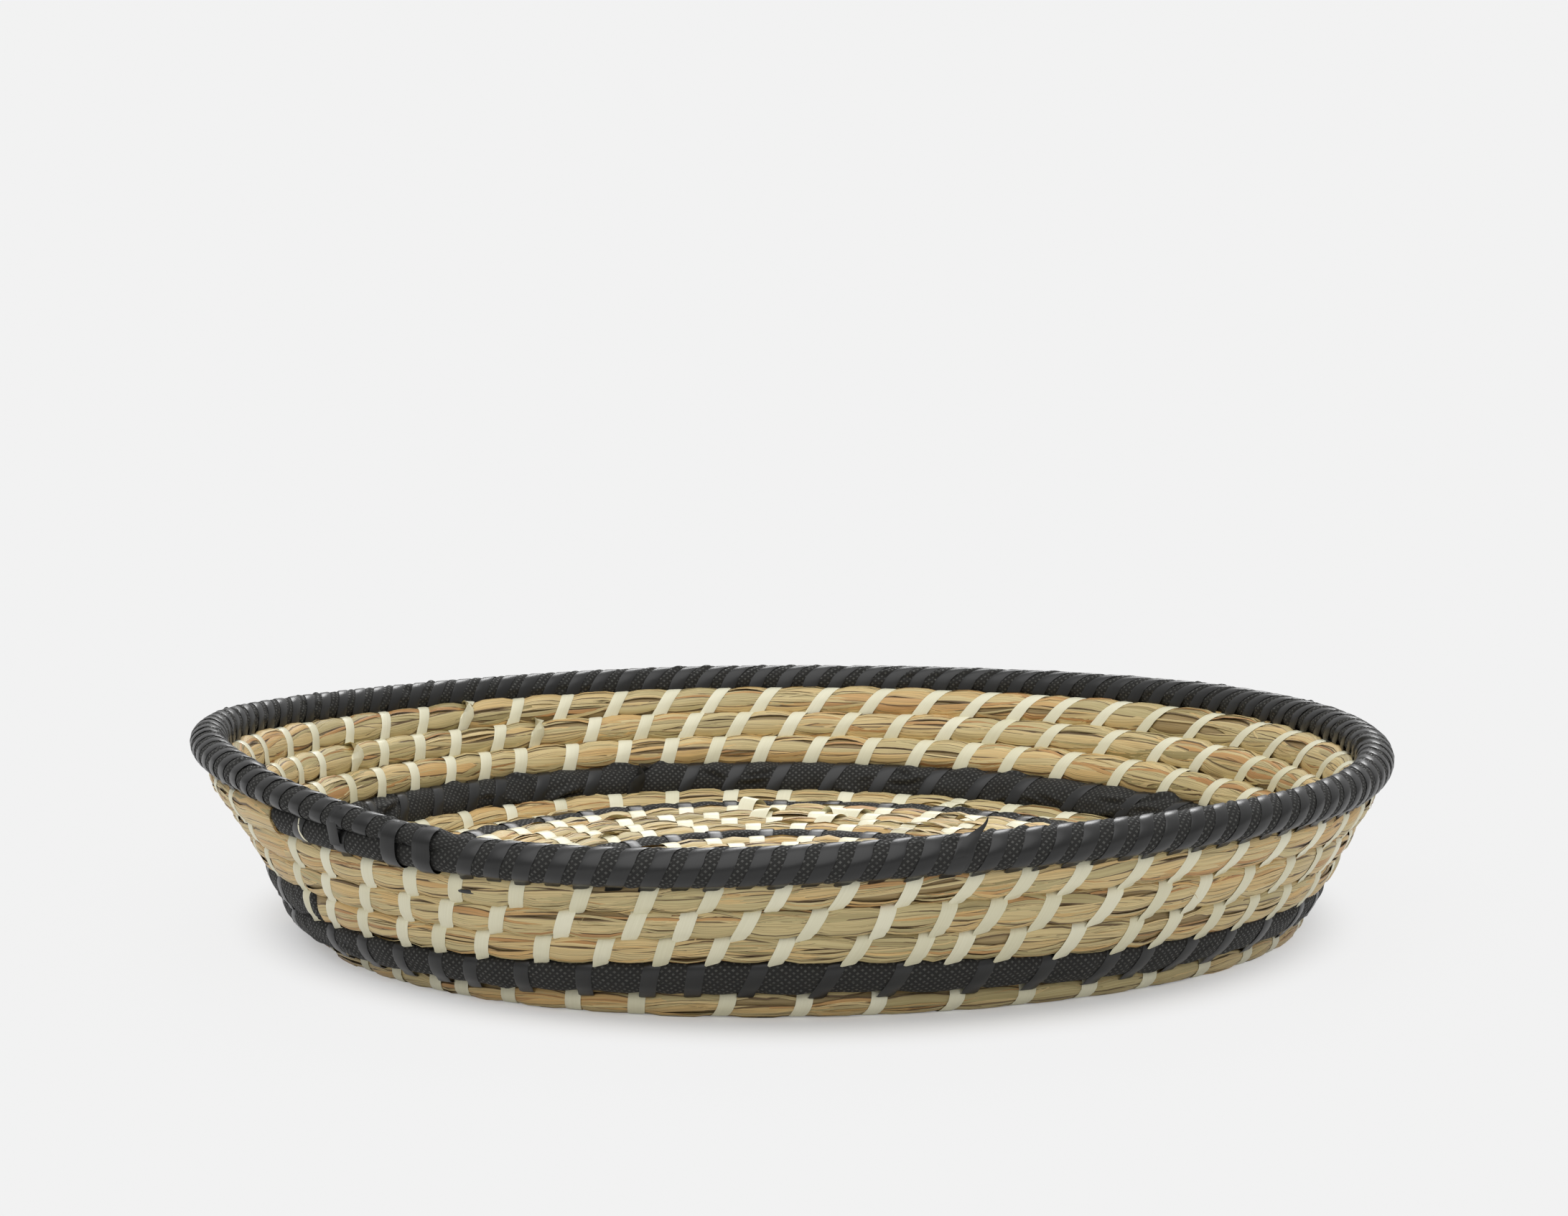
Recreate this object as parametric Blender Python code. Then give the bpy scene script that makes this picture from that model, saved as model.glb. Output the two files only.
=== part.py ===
# Coiled grass basket: a low round tray with leaning walls.
# One bundle of grass is wound as a spiral from the middle of the base out to the rim. Flat straps sew each
# turn to the one before it. Two rings of the base, one row of the wall and the rim run inside a black
# fabric sleeve. The model cuts the spiral where its colour changes, so each stretch is one unbroken piece.
# Metres, +Z up. The origin is the middle of the base, on the surface that the basket stands on.

import bisect
import math

import bmesh
import bpy
import numpy as np
from mathutils import Vector

MM = 0.001

# Driving sizes of the basket
BASE_RADIUS = 182.0 * MM        # middle of the row where the base turns up into the wall
WALL_LEAN = math.radians(33.0)  # how far the wall leans out from upright
BASE_GRASS = 11.9 * MM          # thickness of a natural row in the base
WALL_GRASS = 10.8 * MM          # thickness of a natural row in the wall, inside its straps
RING_SLEEVE = 13.2 * MM         # thickness of a base ring in its black sleeve
BAND_SLEEVE = 13.2 * MM         # thickness of the wall's black row in its sleeve
RIM_SLEEVE = 11.6 * MM          # thickness of the rim in its sleeve, inside its straps

# Sleeves and straps
SLEEVE_WALL = 0.4 * MM
STRAP_WIDTH = 5.6 * MM
STRAP_CROWN = 0.6 * MM          # thickness along the middle of a strap, which thins out to its edges

# Gaps
ROW_GAP = 0.5 * MM              # between neighbouring rows with no strap between them
END_GAP = 0.3 * MM              # between two stretches, end to end
SLEEVE_GAP = 0.3 * MM           # between a grass core and its sleeve
STRAP_GAP = 0.65 * MM           # between a row and the strap wound round it
STRAP_ROOM = 0.3 * MM           # between a strap and the next row

# The spiral
CHANGE_AZIMUTH = math.radians(207.5)   # every change of colour lies on this line from the middle
START_RADIUS = 3.5 * MM                # where the bundle starts, thin enough to curl up
START_SHARE = 0.4                      # its thickness there
THICKENING_TURNS = 2                   # the turns in which it grows to full thickness
STATIONS = 24                          # sections in one turn
EDGE_TURNS = 2
MIDDLE_TURNS = 4
WALL_TURNS = 3
RIM_OVERLAP_TURNS = 0.08               # the rim runs this far over its own start, and thins out there
RIM_END_SHARE = 0.45                   # what is left of its thickness at its end

# Stitches in one turn of a row
WALL_STITCHES = 60
RIM_STITCHES = 120
BEND_MARGIN = 0.2   # a strap has no fold at a bend that lies this near, in corners, to an edge

# A row's section, in shares of half its thickness: along the stack of rows, and across it, outwards
SECTION_SHARES = ((1.0, 0.0), (0.5, 0.92), (-0.5, 0.92), (-1.0, 0.0), (-0.5, -0.92), (0.5, -0.92))
CORNERS = len(SECTION_SHARES)
REST_SHARE = SECTION_SHARES[1][1]
# What a gap square to the section's slanted faces adds to half its thickness
SLANT = math.hypot(1 - SECTION_SHARES[1][0], REST_SHARE) / REST_SHARE

# Rows are numbered by turns from the line of the colour change. Row 0 is the last one of the base.
BAND_ROW = 1
WALL_ROW = BAND_ROW + 1
RIM_ROW = WALL_ROW + WALL_TURNS
OUTER_RING_ROW = -EDGE_TURNS
MIDDLE_ROW = OUTER_RING_ROW - MIDDLE_TURNS
INNER_RING_ROW = MIDDLE_ROW - 1

ROW_PITCH = BASE_GRASS + ROW_GAP
CENTRE_RADIUS = BASE_RADIUS - ROW_PITCH * (1 / 2 + EDGE_TURNS + MIDDLE_TURNS) - 2 * (RING_SLEEVE + ROW_GAP)
THICKENING_ROOM = THICKENING_TURNS * (BASE_GRASS * (START_SHARE + 1) / 2 + ROW_GAP)
FULL_TURN = INNER_RING_ROW - 1 - (CENTRE_RADIUS - START_RADIUS - THICKENING_ROOM) / ROW_PITCH
START_TURN = FULL_TURN - THICKENING_TURNS
STRAP_HEIGHT = (STRAP_GAP + STRAP_CROWN) * SLANT
SLEEVE_TO_CORE = (SLEEVE_WALL + SLEEVE_GAP) * SLANT
REST_HEIGHT = BASE_GRASS / 2 * REST_SHARE
WALL_START = Vector((BASE_RADIUS, REST_HEIGHT))
WALL_UP = Vector((math.sin(WALL_LEAN), math.cos(WALL_LEAN)))


def half_thickness(turn):
    """Half the thickness of the row at this turn, inside any strap. The bundle thins out at both its ends."""
    row = math.floor(turn)
    if turn < FULL_TURN:
        return BASE_GRASS / 2 * (1 - (1 - START_SHARE) * (FULL_TURN - turn) / THICKENING_TURNS)
    if row >= RIM_ROW:
        over_start = max(turn - RIM_ROW - 1, 0) / RIM_OVERLAP_TURNS
        return RIM_SLEEVE / 2 * (1 - (1 - RIM_END_SHARE) * over_start)
    if row >= WALL_ROW:
        return WALL_GRASS / 2
    if row == BAND_ROW:
        return BAND_SLEEVE / 2
    return (RING_SLEEVE if row in (OUTER_RING_ROW, INNER_RING_ROW) else BASE_GRASS) / 2


def gap_above(row):
    """The gap between a row and the next: straps of the wall pass between each other, the rim's don't."""
    if row < BAND_ROW:
        return ROW_GAP
    straps = 1 if row + 1 < RIM_ROW else 2
    return straps * STRAP_HEIGHT + STRAP_ROOM


def spacing(turn):
    """From the middle of a row to the middle of the row outside or above it."""
    return half_thickness(turn) + gap_above(math.floor(turn)) + half_thickness(turn + 1)


def next_row(spot, step):
    """The point of the base and wall's profile that lies one step further on."""
    flat = spot + Vector((step, 0))
    if flat.x <= BASE_RADIUS:
        return flat
    back = spot - WALL_START
    along = WALL_UP.dot(back)
    return WALL_START + WALL_UP * (along + math.sqrt(along * along - back.dot(back) + step * step))


def row_middle(turn):
    """Radius and height of the middle of the bundle, this many turns along the spiral."""
    row = math.floor(turn)
    share = turn - row
    spot = Vector((BASE_RADIUS + ROW_PITCH * (share - 3 / 2), REST_HEIGHT))
    for inner in range(row, -1):
        spot = spot - Vector((spacing(inner + share), 0))
    for outer in range(-1, row):
        spot = next_row(spot, spacing(outer + share))
    return spot


def corner(turn, number, outside=0):
    """One corner of a row's section, this far outside the row, with the section facing along the profile."""
    spot = row_middle(turn)
    half = half_thickness(turn)
    climb = (spot - WALL_START).dot(WALL_UP) if spot.x > BASE_RADIUS else 0
    tilt = (math.pi / 2 - WALL_LEAN) * min(climb / ROW_PITCH, 1)
    stack, across = (share * (half + outside) for share in SECTION_SHARES[number])
    out = spot.x + stack * math.cos(tilt) + across * math.sin(tilt)
    up = spot.y + stack * math.sin(tilt) - across * math.cos(tilt)
    if turn < 0:
        up += half * REST_SHARE - REST_HEIGHT
    azimuth = CHANGE_AZIMUTH + 2 * math.pi * turn
    return Vector((out * math.cos(azimuth), out * math.sin(azimuth), up))


def turns_of(first, last):
    """The turns at which a stretch has its sections, with its ends held off its neighbours."""
    turns = [first]
    turns += [step / STATIONS for step in range(math.floor(first * STATIONS) + 1, math.ceil(last * STATIONS))]
    turns.append(last)
    ease = END_GAP / 2 / (2 * math.pi)
    turns[0] += ease / row_middle(turns[0]).x
    turns[-1] -= ease / row_middle(turns[-2]).x
    return turns


def rings_of(first, last, outside=0):
    """The sections of a stretch, this far outside its row."""
    return [[corner(turn, number, outside) for number in range(CORNERS)] for turn in turns_of(first, last)]


def sweep(name, rings, material, open_ends=False):
    """A tube through rings of corners, drawn out ring by ring, as one object."""
    mesh = bmesh.new()
    count = len(rings[0])
    ring = [mesh.verts.new(point) for point in rings[0]]
    edges = [mesh.edges.new((ring[i], ring[(i + 1) % count])) for i in range(count)]
    first = list(ring)
    for points in rings[1:]:
        made = bmesh.ops.extrude_edge_only(mesh, edges=edges)["geom"]
        fresh = {item for item in made if isinstance(item, bmesh.types.BMVert)}
        ring = [next(edge.other_vert(vert) for edge in vert.link_edges if edge.other_vert(vert) in fresh)
                for vert in ring]
        edges = [mesh.edges.get((ring[i], ring[(i + 1) % count])) for i in range(count)]
        for vert, point in zip(ring, points):
            vert.co = point
    if not open_ends:
        mesh.faces.new(first)
        mesh.faces.new(ring)
    bmesh.ops.recalc_face_normals(mesh, faces=mesh.faces)
    data = bpy.data.meshes.new(name)
    mesh.to_mesh(data)
    mesh.free()
    data.shade_smooth()
    data.set_sharp_from_angle(angle=math.radians(50))
    data.materials.append(material)
    item = bpy.data.objects.new(name, data)
    bpy.context.scene.collection.objects.link(item)
    return item


def least_gap(rings):
    """The least distance between corners of a tube that lie more than half a turn apart."""
    points = np.array(rings)
    half_turn = STATIONS // 2
    least = math.inf
    for index in range(len(points) - half_turn):
        ahead = points[index + half_turn:].reshape(-1, 3)
        away = np.linalg.norm(points[index][:, None] - ahead[None], axis=2)
        least = min(least, away.min())
    return least


def grass(name, first, last, inside=0):
    """A stretch of the bundle of grass."""
    rings = rings_of(first, last, -inside)
    if last - first > 1:
        print(f"{name}: least gap to itself {least_gap(rings) / MM:.2f} mm")
    return sweep(name, rings, MATERIALS["grass"])


def sleeve(name, first, last):
    """The black fabric round a stretch: a thin tube, open at both ends."""
    item = sweep(name, rings_of(first, last), MATERIALS["fabric"], open_ends=True)
    wall = item.modifiers.new("wall", "SOLIDIFY")
    wall.thickness = SLEEVE_WALL
    wall.offset = -1
    wall.use_even_offset = True
    wall.use_rim = True
    return item


def on_row(turns, rings, turn, place):
    """A point of a stretch at any turn and place round its section: it runs straight from section to section."""
    ahead = bisect.bisect(turns, turn)
    number = math.floor(place)
    sides = [ring[number % CORNERS].lerp(ring[(number + 1) % CORNERS], place - number)
             for ring in rings[ahead - 1:ahead + 1]]
    return sides[0].lerp(sides[1], (turn - turns[ahead - 1]) / (turns[ahead] - turns[ahead - 1]))


def strap(name, first, last, stitches, material):
    """The strap wound round a stretch: one strip, which folds over every edge and bend of its row."""
    turns = turns_of(first, last)
    under = rings_of(first, last, STRAP_GAP * SLANT)
    over = rings_of(first, last, STRAP_HEIGHT)
    step = 1 / stitches / CORNERS
    side = STRAP_WIDTH / 2 / (2 * math.pi * row_middle(first).x)
    start = turns[0] + side + step
    places = list(range(math.floor((turns[-1] - side - step - start) / step)))
    bends = [(turn - start) / step for turn in turns if start < turn < start + places[-1] * step]
    places += [bend for bend in bends if BEND_MARGIN < bend % 1 < 1 - BEND_MARGIN]
    rings = []
    for place in sorted(places):
        turn = start + place * step
        rings.append([on_row(turns, under, turn - side, -place), on_row(turns, over, turn, -place),
                      on_row(turns, under, turn + side, -place)])
    item = sweep(name, rings, MATERIALS[material])
    item.modifiers.new("folds", "TRIANGULATE").quad_method = "SHORTEST_DIAGONAL"
    return item


def material(name, colour, roughness):
    made = bpy.data.materials.new(name)
    made.use_nodes = True
    shader = made.node_tree.nodes["Principled BSDF"]
    shader.inputs["Base Color"].default_value = (*colour, 1)
    shader.inputs["Roughness"].default_value = roughness
    shader.inputs["Metallic"].default_value = 0
    made.diffuse_color = (*colour, 1)
    return made


for old in list(bpy.data.objects):
    bpy.data.objects.remove(old, do_unlink=True)

MATERIALS = {
    "grass": material("dried_grass", (0.48, 0.36, 0.18), 0.7),
    "fabric": material("black_fabric", (0.018, 0.017, 0.016), 0.9),
    "palm": material("cream_palm", (0.75, 0.74, 0.62), 0.55),
    "black_palm": material("black_strap", (0.03, 0.03, 0.032), 0.35),
}

# The base, from the middle outwards
grass("base_centre_coil", START_TURN, INNER_RING_ROW)
grass("inner_ring_core", INNER_RING_ROW, MIDDLE_ROW, SLEEVE_TO_CORE)
sleeve("inner_ring_sleeve", INNER_RING_ROW, MIDDLE_ROW)
grass("base_middle_coil", MIDDLE_ROW, OUTER_RING_ROW)
grass("outer_ring_core", OUTER_RING_ROW, OUTER_RING_ROW + 1, SLEEVE_TO_CORE)
sleeve("outer_ring_sleeve", OUTER_RING_ROW, OUTER_RING_ROW + 1)
grass("base_edge_coil", OUTER_RING_ROW + 1, BAND_ROW)

# The wall, from the base up
grass("band_core", BAND_ROW, WALL_ROW, SLEEVE_TO_CORE)
sleeve("band_sleeve", BAND_ROW, WALL_ROW)
grass("wall_coil", WALL_ROW, RIM_ROW)

# The rim, which ends on top of its own start
RIM_END = RIM_ROW + 1 + RIM_OVERLAP_TURNS
grass("rim_core", RIM_ROW, RIM_END, SLEEVE_TO_CORE)
sleeve("rim_sleeve", RIM_ROW, RIM_END)

# The straps that show most: round the natural rows of the wall, and round the rim
strap("wall_strap", WALL_ROW, RIM_ROW, WALL_STITCHES, "palm")
strap("rim_strap", RIM_ROW, RIM_END, RIM_STITCHES, "black_palm")
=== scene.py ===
import math

import bpy
import numpy as np
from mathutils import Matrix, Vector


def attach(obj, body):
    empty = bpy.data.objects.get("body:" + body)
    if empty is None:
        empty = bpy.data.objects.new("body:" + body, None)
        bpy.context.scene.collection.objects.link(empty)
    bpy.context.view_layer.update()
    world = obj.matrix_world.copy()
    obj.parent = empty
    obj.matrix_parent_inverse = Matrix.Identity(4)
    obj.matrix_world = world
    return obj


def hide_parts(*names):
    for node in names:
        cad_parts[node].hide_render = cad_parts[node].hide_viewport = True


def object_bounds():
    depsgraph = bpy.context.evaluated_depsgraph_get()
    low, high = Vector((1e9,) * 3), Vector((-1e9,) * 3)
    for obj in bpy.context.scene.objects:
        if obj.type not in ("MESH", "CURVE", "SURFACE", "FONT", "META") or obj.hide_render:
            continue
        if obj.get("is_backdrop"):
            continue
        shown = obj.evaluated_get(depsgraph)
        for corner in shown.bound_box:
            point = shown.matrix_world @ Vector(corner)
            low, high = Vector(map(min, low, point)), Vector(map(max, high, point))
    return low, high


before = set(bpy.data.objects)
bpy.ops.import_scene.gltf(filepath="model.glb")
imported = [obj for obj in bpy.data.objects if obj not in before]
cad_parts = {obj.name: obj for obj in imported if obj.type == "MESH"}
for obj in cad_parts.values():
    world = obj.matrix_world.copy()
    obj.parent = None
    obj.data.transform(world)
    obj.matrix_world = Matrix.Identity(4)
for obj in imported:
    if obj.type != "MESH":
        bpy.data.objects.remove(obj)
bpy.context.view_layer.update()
rng = np.random.default_rng(7)

MM = 0.001

# The spiral, as in the part
BASE_RADIUS = 182.0  # middle of the row where the base turns up into the wall
WALL_LEAN = math.radians(33.0)
WALL_UP = np.array([math.sin(WALL_LEAN), math.cos(WALL_LEAN)])
CHANGE_AZIMUTH = math.radians(207.5)
REST_HEIGHT = 5.47
PITCH = 12.4  # from row to row in the base
RING_EXTRA = 0.65  # and this much more on each side of a black ring
OUTER_RING_ROW, INNER_RING_ROW = -2, -7
RIM_ROW = 5
RIM_LAP = RIM_ROW + 1  # from here on the rim lies on its own start
# From the middle of a row to the middle of the next one up
EVEN_STEPS = {-1: 12.4, 0: 13.05, 1: 13.73, 2: 12.52, 3: 12.52, 4: 14.35, 5: 13.0}

# Where the bundle starts, where the black row, the wall's straw and the rim start, and where the bundle ends
START_TURN = -13.95
BAND_START, WALL_START, RIM_START = 0.94, 2.014, 5.013
RIM_END = 6.085

# How the real rows stray from an even spiral, in millimetres, row by row from 0 to 5: outwards at the front,
# right, back and left, and upwards at six places from the front left round to the left
STRAY_OUT = np.array([[2.5, 1.0, -0.2, 1.1], [0.3, 0.6, -0.1, 0.2], [-0.1, -0.1, -0.5, -1.1],
                      [-0.4, -0.2, -0.2, -0.6], [-0.8, 0.2, 0.0, 0.1], [-0.1, 0.1, 0.4, -0.1]])
STRAY_UP = np.array([[0.2, 0.5, -0.3, -0.6, -0.5, 0.3], [1.1, 3.4, -0.6, -0.9, -0.5, 0.2],
                     [0.6, 3.0, -1.7, -1.4, -0.2, 0.0], [0.4, 1.7, -0.9, -0.9, -0.1, 0.0],
                     [0.5, 1.2, 0.4, -0.2, -0.7, -0.5], [-1.5, -2.3, -2.0, -0.5, -3.2, -1.4]])
# the base's outer rows follow the edge row, less and less towards the middle
STRAY_OUT = np.concatenate([STRAY_OUT[:1] * (1 + row / 6) for row in range(-6, 0)] + [STRAY_OUT])
OUT_TURNS = np.add.outer(np.arange(-6, 6), [0.174, 0.424, 0.674, 0.924]).ravel()
UP_TURNS = np.add.outer(np.arange(6), [0.08, 0.155, 0.273, 0.424, 0.674, 0.924]).ravel()
# The slow waves of the rim's height, the rim's radius and the base's radius: cosine and sine of one period
# round the basket, of two periods, and so on
RIM_HEIGHT_WAVES = ((0.9, -6.6), (2.2, 0.0), (-1.6, -0.2), (0.4, 1.0))
RIM_RADIUS_WAVES = ((1.2, 1.2), (1.0, 2.2))
BASE_RADIUS_WAVES = ((-0.2, -3.5), (1.4, 2.0), (3.1, -2.0))
# Turns, and how much higher than its edge the base is there
BASE_DOME = ((-14, -7, -3, -2, -1, -0.2), (2.0, 2.2, 2.8, 3.1, 2.0, 0))
# Shares of the rim's lap, and how far its middle lies above that of the row under it
RIM_SINK = ((0, 0.3, 0.6, 0.81, 1), (12.1, 10.6, 8.2, 5.7, 3.2))
LAP_LENGTH = 0.085
WALL_FOOT, WALL_HEIGHT = 5, 58  # the height where the rim's waves start, and over which they grow


def waves(azimuth, table):
    return sum(c * np.cos((i + 1) * azimuth) + s * np.sin((i + 1) * azimuth)
               for i, (c, s) in enumerate(table))


def even_spot(turn):
    """Radius and height of the bundle's middle on an even spiral."""
    row = math.floor(turn + 1e-9)
    share = turn - row
    spot = np.array([BASE_RADIUS + PITCH * (share - 1.5), REST_HEIGHT])
    for inner in range(row, -1):
        ringed = sum(ring in (inner, inner + 1) for ring in (OUTER_RING_ROW, INNER_RING_ROW))
        spot[0] -= PITCH + RING_EXTRA * ringed
    start = np.array([BASE_RADIUS, REST_HEIGHT])
    for outer in range(-1, row):
        step = EVEN_STEPS[outer]
        if spot[0] + step <= BASE_RADIUS:
            spot[0] += step
            continue
        back = spot - start
        along = WALL_UP @ back
        spot = start + WALL_UP * (along + math.sqrt(along * along - back @ back + step * step))
    return spot


STEPS_A_TURN = 240
TURNS = np.arange(START_TURN, RIM_END + 0.02, 1 / STEPS_A_TURN)


def full_path():
    """The middle of the bundle at every step of the spiral, with the strays of the real basket."""
    spots = np.array([even_spot(min(turn, RIM_LAP - 1e-6)) for turn in TURNS])
    azimuth = CHANGE_AZIMUTH + 2 * math.pi * TURNS
    # past a whole turn of the rim, the bundle lies on the rim's own start
    over = TURNS > RIM_LAP
    under = np.array([even_spot(turn - 1) for turn in TURNS[over]])
    spots[over] = under
    line = np.where(over, TURNS - 1, TURNS)
    r, z = spots.T
    r = r + np.interp(line, OUT_TURNS, STRAY_OUT.ravel())
    z = z + np.where(line > -0.05, np.interp(line, UP_TURNS, STRAY_UP.ravel()), 0)
    z = z + np.interp(TURNS, *BASE_DOME)
    climb = np.clip((np.where(TURNS < 0, 0, z) - WALL_FOOT) / WALL_HEIGHT, 0, 1.2)
    z = z + climb * waves(azimuth, RIM_HEIGHT_WAVES)
    r = r + climb * waves(azimuth, RIM_RADIUS_WAVES)
    r = r + (1 - climb) * waves(azimuth, BASE_RADIUS_WAVES) * np.clip(r / 180, 0, 1) ** 1.5
    gone = np.clip((TURNS - RIM_LAP) / LAP_LENGTH, 0, 1)
    lift = np.where(over, np.interp(gone, *RIM_SINK), 0)
    r, z = r + lift * WALL_UP[0], z + lift * WALL_UP[1]
    return r, z


PATH_R, PATH_Z = full_path()


def middle(turn):
    return np.interp(turn, TURNS, PATH_R), np.interp(turn, TURNS, PATH_Z)


def stack_angle(turn):
    """The way up through the rows at this turn, as an angle from level: 0 in the base, steep in the wall."""
    low_r, low_z = middle(np.maximum(turn - 1, START_TURN))
    high = np.minimum(turn + 1, 5.999)
    high_r, high_z = middle(np.where(turn > 5, turn, high))
    angle = np.arctan2(high_z - low_z, high_r - low_r)
    return np.where(turn < -1, 0, angle)


STACK = stack_angle(TURNS)

# The bundle's section: half its thickness along the stack of rows and across it, and how square it is on its
# outer side and on its inner side
NATURAL_BASE = (6.5, 5.6, 2.6, 2.2)
RING = (6.8, 5.9, 2.6, 2.2)
EDGE = (6.7, 6.1, 2.5, 2.2)
BAND = (7.2, 6.7, 3.0, 2.3)
WALL = (6.7, 6.3, 3.2, 2.4)
TOP_WALL = (7.3, 6.3, 3.2, 2.4)
RIM = (6.5, 6.7, 2.2, 2.2)


def row_form(turn):
    row = np.floor(turn + 1e-9)
    form = np.empty(np.shape(turn) + (4,))
    form[...] = NATURAL_BASE
    form[(row == OUTER_RING_ROW) | (row == INNER_RING_ROW)] = RING
    form[row == 0] = EDGE
    form[(turn > BAND_START) & (turn < WALL_START)] = BAND
    form[turn >= WALL_START] = WALL
    form[row == 4] = TOP_WALL
    form[turn >= RIM_START] = RIM
    return form


def spacing(turn):
    """How far apart the middles of this row and the next one up lie."""
    low_r, low_z = middle(turn)
    high_r, high_z = middle(turn + 1)
    return np.hypot(high_r - low_r, high_z - low_z)


# Turns, and the usual spacing there, which the forms above were made for
USUAL_SPACING = ((-1, 0, 1, 2, 3, 4, 5, 5.2), (12.4, 13.05, 13.73, 12.52, 12.52, 13.4, 14.35, 14.35))
BLEND_TURNS = 0.012  # one form blends into the next over about this much of a turn


def bundle_form():
    """The section at every step of the spiral."""
    kernel = np.hanning(2 * int(BLEND_TURNS * STEPS_A_TURN) + 3)
    kernel /= kernel.sum()
    form = np.stack([np.convolve(np.pad(column, len(kernel) // 2, mode="edge"), kernel, mode="valid")
                     for column in row_form(TURNS).T], axis=1)
    # where the rows lie closer together or further apart than usual, the bundle fills the room
    last = RIM_ROW - 0.001
    room = np.where(TURNS < RIM_ROW, spacing(np.clip(TURNS, -1, last)), spacing(np.clip(TURNS - 1, -1, last)))
    form[:, 0] *= np.where(TURNS > -1, np.clip(room / np.interp(TURNS, *USUAL_SPACING), 0.92, 1.16), 1)
    # it is thinner at its start and its end
    form[:, :2] *= np.interp(TURNS - START_TURN, (0, 0.25, 1.1), (0.6, 0.9, 1))[:, None]
    form[:, :2] *= np.interp(TURNS, (5.93, 6.0, 6.04, RIM_END), (1, 0.84, 0.7, 0.5))[:, None]
    return form


FORM = bundle_form()


# Stitches. A stitch is the turn at which its strap crosses the middle of the row's outer side.
# Straps lean along the row: on the outer and on the inner side, for the base and rows 0 to 5
OUTER_LEAN = np.tan(np.radians([8, 27, 21, 16, 17, 18, 21]))
INNER_LEAN = np.tan(np.radians([10, 14, 30, 24, 29, 35, 44]))


def slant_of(turn):
    """How far the rim's straps run on along the row while they cross its top: least at its two ends."""
    return np.interp(turn, (5.05, 5.12, 5.17, 5.26, 5.35, 5.9, 6.05), (0.8, 1, 1.6, 3.2, 5, 3.5, 1))


def reach(form, phi):
    """How far the bundle's skin lies from its middle: 0 degrees is its outer side, 90 is up the stack."""
    across, along = np.cos(phi), np.sin(phi)
    power = np.where(across > 0, form[..., 2], form[..., 3])
    across_part = (np.abs(across) / form[..., 1]) ** power
    along_part = (np.abs(along) / form[..., 0]) ** power
    return (across_part + along_part) ** (-1 / power)


def form_at(turn):
    return np.stack([np.interp(turn, TURNS, FORM[:, i]) for i in range(4)], -1)


def run_of(turn, rise, inside):
    """How far along the row a strap has run when it is this high up the row."""
    row = np.clip(np.floor(turn + 1e-9), -1, 5).astype(int) + 1
    half = np.interp(turn, TURNS, FORM[:, 0])
    # they lean a little more at the front, left of its middle
    outer = OUTER_LEAN[row] + np.where(row > 2, 0.12, 0) * np.exp(-((turn % 1 - 0.145) / 0.05) ** 2)
    # and the two lowest rows' straps stand nearly upright at the front left
    outer = outer * np.where((row == 1) | (row == 2), np.interp(turn % 1, (0.1, 0.17), (0.4, 1)), 1)
    return np.where(inside, outer * half + INNER_LEAN[row] * (half - rise), outer * rise)


def lean_of(turn, phi):
    turn, phi = np.broadcast_arrays(turn, phi)
    over_top = np.where(turn >= RIM_START, slant_of(turn) * (1 - np.cos(phi)), 0)
    return run_of(turn, reach(form_at(turn), phi) * np.sin(phi), np.cos(phi) < 0) + over_top


def circumference(turn):
    return 2 * math.pi * middle(turn)[0]


def evenly(first, last, apart, jitter):
    """Stitches along a stretch, this far apart with a little play."""
    made = []
    turn = first
    while turn < last:
        made.append(turn)
        turn += apart * (1 + jitter * rng.uniform(-1, 1)) / max(circumference(turn), 8)
    return made


# Stitches of rows 0 to 4 that the photograph shows, in tenths of a degree after the colour change
MEASURED = {
    4: (54, 114, 177, 234, 288, 355, 420, 484, 545, 609, 671, 733, 790, 846, 903, 972, 1033, 1100, 1169,
        1240, 1303, 1592, 1669, 1738, 1806, 1887, 1959, 2024, 2086, 2133, 2190, 2248, 2311, 2374, 2439,
        2497, 2554, 2615, 2680, 2742, 2810, 2874, 2935, 3000, 3072, 3136, 3215),
    3: (30, 91, 156, 214, 266, 325, 397, 468, 518, 577, 642, 711, 772, 821, 880, 949, 1012, 1068, 1134,
        1209, 1275, 1696, 1770, 1856, 1928, 2009, 2090, 2160, 2220, 2285, 2348, 2412, 2475, 2533, 2591,
        2656, 2730, 2783, 2848, 2906, 2969, 3027, 3103),
    2: (25, 77, 136, 197, 246, 299, 367, 432, 494, 548, 612, 688, 753, 796, 851, 920, 991, 1043, 1108, 1169,
        1236, 1319, 1811, 1890, 1971, 2057, 2131, 2192, 2254, 2319, 2384, 2449, 2509, 2567, 2627, 2697,
        2769, 2822, 2878, 2943, 3008, 3075, 3154),
    1: (52, 118, 177, 230, 274, 336, 405, 474, 521, 582, 659, 732, 824, 896, 975, 1023, 1086, 1150, 1224,
        1315, 1924, 2010, 2096, 2154, 2221, 2288, 2353, 2423, 2481, 2539, 2606, 2671, 2745, 2810, 2854,
        2917, 2986),
    0: (71, 138, 202, 241, 303, 380, 451, 542, 626, 706, 794, 880, 960, 1043, 1134, 1219, 1292, 1399),
}


def placed(row, apart):
    """A row's stitches: those measured, and others evenly between them where the row is hidden."""
    known = [row + tenths / 3600 for tenths in MEASURED[row]] + [row + 1]
    made = []
    for here, after in zip(known[:-1], known[1:]):
        count = max(round((after - here) * circumference(here) / apart), 1)
        made += [here + (after - here) * (step + (rng.uniform(-0.06, 0.06) if step else 0)) / count
                 for step in range(count)]
    return made


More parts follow.
